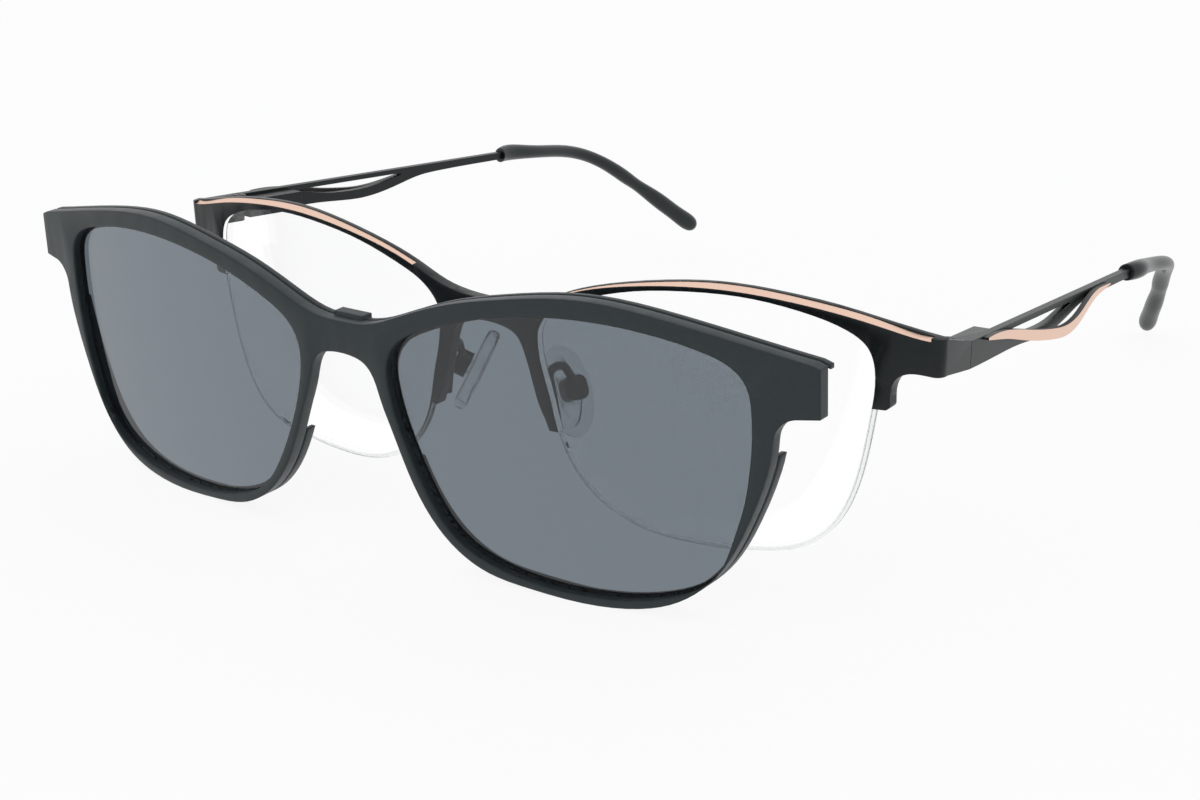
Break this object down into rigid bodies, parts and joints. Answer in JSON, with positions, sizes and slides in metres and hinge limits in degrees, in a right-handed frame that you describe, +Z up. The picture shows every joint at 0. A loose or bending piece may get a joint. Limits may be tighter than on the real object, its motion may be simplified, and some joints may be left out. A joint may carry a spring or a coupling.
{
  "type": "magnetic clip on glasses",
  "caption": "Half-rimless metal glasses with clear lenses, spring-hinged temples and rocking nose pads, with a magnetic grey sun lens clip standing in front.",
  "frame": {"origin": "on the floor, under the middle of the whole set as it stands: glasses open, clip in front of them", "axes": "+Z up, +Y from the lenses to the temple tips, +X to the right of someone who looks at the lenses from the front"},
  "size_m": [0.1464, 0.141, 0.0421],
  "materials": {
    "frame_metal": "satin black lacquer",
    "bright_steel": "bright, fine machined",
    "pad_shoe": "clear hard plastic",
    "silicone": "soft clear silicone",
    "clear_lens": "clear, polished",
    "nylon": "clear nylon",
    "rose_gold": "rose gold, brushed along its length",
    "tip_plastic": "polished black",
    "clip_plastic": "matte dark grey",
    "sun_lens": "grey tint, polished",
    "magnet": "nickel plated"
  },
  "bodies": {
    "front": {"frame_front": "frame_metal", "brow_trim_left": "rose_gold", "brow_trim_right": "rose_gold", "demo_lens_left": "clear_lens", "demo_lens_right": "clear_lens", "nylon_cord_left": "nylon", "nylon_cord_right": "nylon", "pad_arm_left": "bright_steel", "pad_arm_right": "bright_steel", "pad_screw_left": "bright_steel", "pad_screw_right": "bright_steel", "hinge_knuckles_left": "frame_metal", "hinge_knuckles_right": "frame_metal", "hinge_screw_left": "bright_steel", "hinge_screw_right": "bright_steel"},
    "clip": {"clip_frame": "clip_plastic", "sun_lens_left": "sun_lens", "sun_lens_right": "sun_lens", "clip_magnets": "magnet"},
    "slider_right": {"hinge_slider_right": "bright_steel"},
    "temple_right": {"temple_blade_right": "frame_metal", "temple_wave_right": "rose_gold", "hinge_housing_right": "frame_metal", "hinge_spring_right": "bright_steel", "temple_tip_right": "tip_plastic"},
    "pad_right": {"nose_pad_right": "silicone", "pad_shoe_right": "pad_shoe"},
    "slider_left": {"hinge_slider_left": "bright_steel"},
    "temple_left": {"temple_blade_left": "frame_metal", "temple_wave_left": "rose_gold", "hinge_housing_left": "frame_metal", "hinge_spring_left": "bright_steel", "temple_tip_left": "tip_plastic"},
    "pad_left": {"nose_pad_left": "silicone", "pad_shoe_left": "pad_shoe"}
  },
  "joints": [
    {"name": "fold_right", "type": "hinge", "parent": "front", "child": "slider_right", "pos_m": [0.07006, -0.03537, 0.03145], "axis": [-0.0097, 0.1267, 0.9919], "range_deg": [0, 76]},
    {"name": "flex_right", "type": "slide", "parent": "slider_right", "child": "temple_right", "axis": [-0.0761, 0.989, -0.1271], "range_m": [0, 0.0015], "stiffness_N_per_m": 1500, "springref_m": -0.001},
    {"name": "pad_rock_right", "type": "hinge", "parent": "front", "child": "pad_right", "pos_m": [0.01674, -0.04478, 0.01971], "axis": [0.4695, 0.8829, 0], "range_deg": [-6, 6]},
    {"name": "fold_left", "type": "hinge", "parent": "front", "child": "slider_left", "pos_m": [-0.05644, -0.03537, 0.03335], "axis": [-0.0083, -0.1077, -0.9942], "range_deg": [0, 82]},
    {"name": "flex_left", "type": "slide", "parent": "slider_left", "child": "temple_left", "axis": [0.0763, 0.9912, -0.108], "range_m": [0, 0.0015], "stiffness_N_per_m": 1500, "springref_m": -0.001},
    {"name": "pad_rock_left", "type": "hinge", "parent": "front", "child": "pad_left", "pos_m": [-0.00312, -0.04478, 0.01971], "axis": [-0.4695, 0.8829, 0], "range_deg": [-6, 6]},
    {"name": "clip_seating", "type": "slide", "parent": "front", "child": "clip", "axis": [0.5277, 0.8494, 0], "range_m": [0, 0.01943]}
  ]
}
